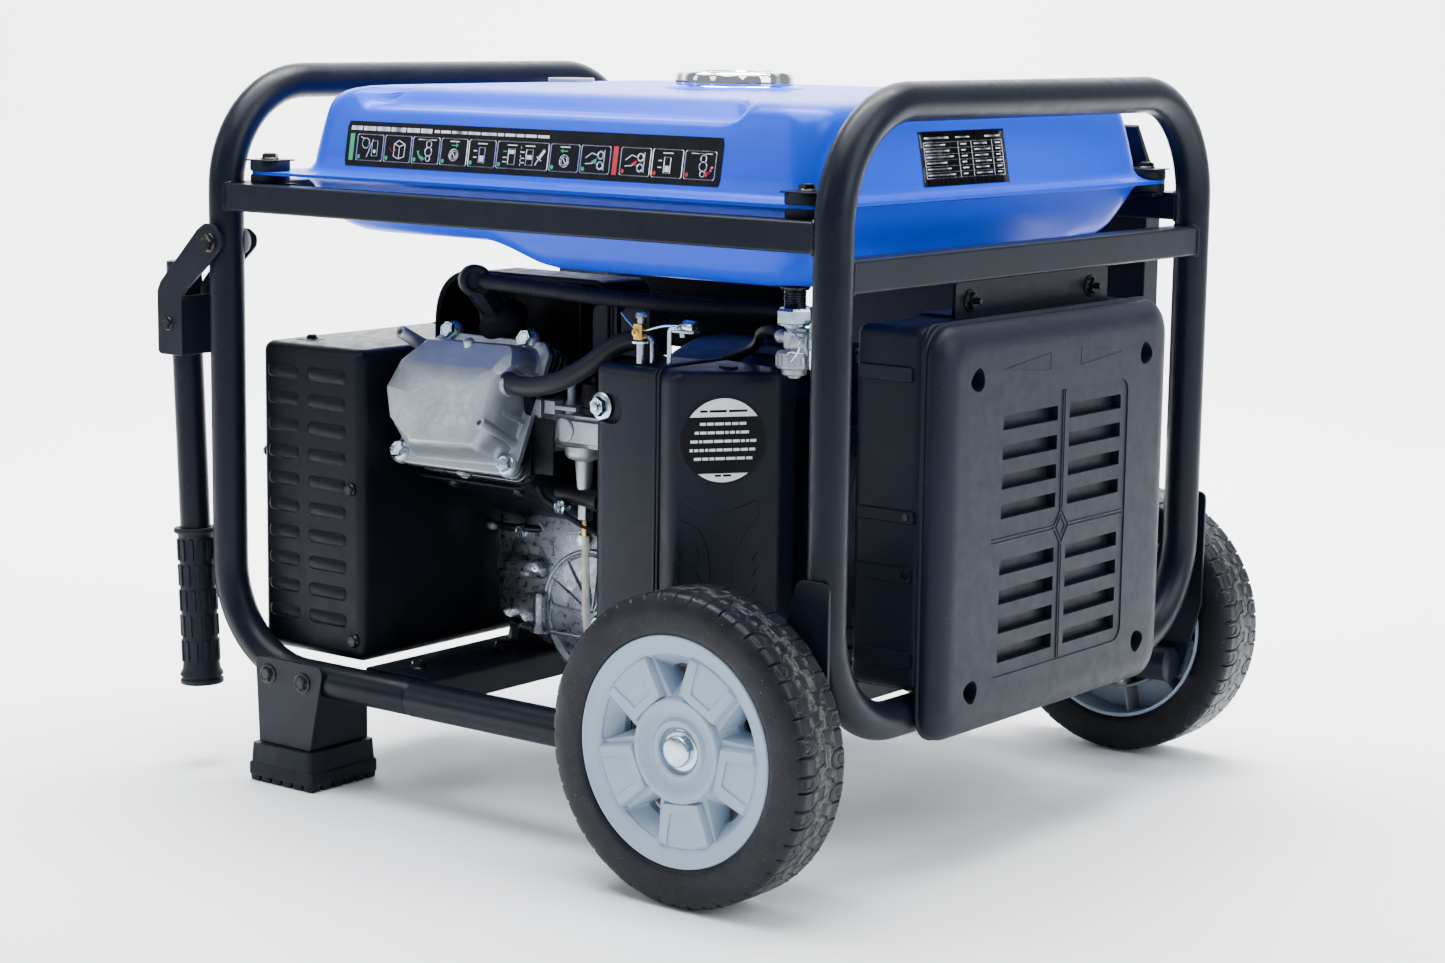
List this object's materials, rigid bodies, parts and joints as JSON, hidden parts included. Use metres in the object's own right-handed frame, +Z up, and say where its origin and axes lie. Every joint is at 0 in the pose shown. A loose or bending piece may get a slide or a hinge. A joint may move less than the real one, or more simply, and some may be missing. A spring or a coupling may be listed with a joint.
{
  "type": "portable generator",
  "caption": "Open-frame portable generator with a tubular frame, two wheels, fold-down handles, a fuel tank, a leaning engine and a vented end cover.",
  "frame": {"origin": "on the floor under the middle of the machine's bounding box", "axes": "+X along the machine towards the wheels and the vented end cover, -Y towards the engine side with the rocker cover, +Z up"},
  "size_m": [0.748, 0.696, 0.612],
  "materials": {
    "frame_black": "satin black powder coat",
    "handle_black": "satin black powder coat",
    "grip_rubber": "moulded matt rubber sleeve",
    "black_steel": "black zinc bolt and washers",
    "foot_rubber": "moulded matt rubber",
    "mount_rubber": "bonded rubber disc with a steel bolt",
    "tyre": "solid rubber tyre",
    "hub_grey": "pale blue-grey moulded plastic",
    "zinc": "bright zinc plating",
    "tank_blue": "deep gloss metallic blue paint",
    "cap_chrome": "bright chromed steel",
    "gauge_clear": "clear lens over a dial",
    "cast_alloy": "sand-textured cast aluminium",
    "rotor_steel": "machined rotor and fan",
    "black_sheet": "heat-resistant black paint on pressed sheet",
    "plastic_black": "satin moulded black plastic",
    "cover_plastic": "fine-textured black plastic",
    "hose_rubber": "matt black rubber",
    "switch_plastic": "red moulded plastic"
  },
  "bodies": {
    "chassis": {"air_box_base": "plastic_black", "air_box_cover": "plastic_black", "alternator_housing": "plastic_black", "axle_bolt_back": "zinc", "axle_bolt_front": "zinc", "breather_hose": "hose_rubber", "carburettor": "cast_alloy", "control_panel": "plastic_black", "cross_member_left": "frame_black", "cross_member_right": "frame_black", "cylinder_head": "cast_alloy", "cylinder_shroud": "black_sheet", "engine_block": "cast_alloy", "engine_mount_back": "foot_rubber", "engine_mount_front": "foot_rubber", "foot_bracket_back": "frame_black", "foot_bracket_front": "frame_black", "frame_hoop_left": "frame_black", "frame_hoop_right": "frame_black", "fuel_gauge": "gauge_clear", "fuel_tap": "zinc", "ignition_lead": "hose_rubber", "inverter_housing": "plastic_black", "lower_rail_back": "frame_black", "lower_rail_front": "frame_black", "muffler": "black_sheet", "muffler_guard": "black_sheet", "pivot_bolt_back": "black_steel", "pivot_bolt_front": "black_steel", "rocker_cover": "cast_alloy", "rubber_foot_back": "foot_rubber", "rubber_foot_front": "foot_rubber", "spark_cap": "hose_rubber", "tank_lower": "tank_blue", "tank_mount_back_left": "mount_rubber", "tank_mount_back_right": "mount_rubber", "tank_mount_front_left": "mount_rubber", "tank_mount_front_right": "mount_rubber", "tank_upper": "tank_blue", "upper_rail_back": "frame_black", "upper_rail_front": "frame_black", "upper_rail_left": "frame_black", "upper_rail_right": "frame_black", "vent_cover": "cover_plastic"},
    "wheel_front": {"tyre_front": "tyre", "wheel_hub_front": "hub_grey"},
    "wheel_back": {"tyre_back": "tyre", "wheel_hub_back": "hub_grey"},
    "handle_front": {"handle_bracket_front": "handle_black", "handle_tube_front": "handle_black", "handle_grip_front": "grip_rubber"},
    "handle_back": {"handle_bracket_back": "handle_black", "handle_tube_back": "handle_black", "handle_grip_back": "grip_rubber"},
    "cap": {"fuel_cap": "cap_chrome"},
    "tap_lever": {"fuel_tap_lever": "zinc"},
    "crank": {"crank_rotor": "rotor_steel"},
    "choke": {"choke_lever": "zinc"},
    "switch": {"engine_switch": "switch_plastic"},
    "breaker": {"breaker_button": "switch_plastic"}
  },
  "joints": [
    {"name": "wheel_front_spin", "type": "hinge", "parent": "chassis", "child": "wheel_front", "pos_m": [0.254, -0.318, 0.12], "axis": [0, 1, 0], "continuous": true},
    {"name": "wheel_back_spin", "type": "hinge", "parent": "chassis", "child": "wheel_back", "pos_m": [0.254, 0.318, 0.12], "axis": [0, 1, 0], "continuous": true},
    {"name": "handle_front_fold", "type": "hinge", "parent": "chassis", "child": "handle_front", "pos_m": [-0.304, -0.2655, 0.461], "axis": [0, 1, 0], "range_deg": [0, 90]},
    {"name": "handle_back_fold", "type": "hinge", "parent": "chassis", "child": "handle_back", "pos_m": [-0.304, 0.2655, 0.461], "axis": [0, 1, 0], "range_deg": [0, 90]},
    {"name": "fuel_cap_twist", "type": "hinge", "parent": "chassis", "child": "cap", "pos_m": [0.038, 0, 0.6], "axis": [0, 0, 1], "range_deg": [0, 90]},
    {"name": "fuel_tap_turn", "type": "hinge", "parent": "chassis", "child": "tap_lever", "pos_m": [0.2635, -0.19, 0.42], "axis": [1, 0, 0], "range_deg": [0, 90]},
    {"name": "crank_spin", "type": "hinge", "parent": "chassis", "child": "crank", "pos_m": [0, -0.01, 0.25], "axis": [1, 0, 0], "continuous": true},
    {"name": "choke_turn", "type": "hinge", "parent": "chassis", "child": "choke", "pos_m": [0.118, -0.221, 0.42], "axis": [0, 0, 1], "range_deg": [0, 40]},
    {"name": "engine_switch_rock", "type": "hinge", "parent": "chassis", "child": "switch", "pos_m": [0.24, 0.302, 0.455], "axis": [1, 0, 0], "range_deg": [-10, 10]},
    {"name": "breaker_press", "type": "slide", "parent": "chassis", "child": "breaker", "axis": [0, -1, 0], "range_m": [0, 0.003], "stiffness_N_per_m": 800, "springref_m": -0.001}
  ]
}
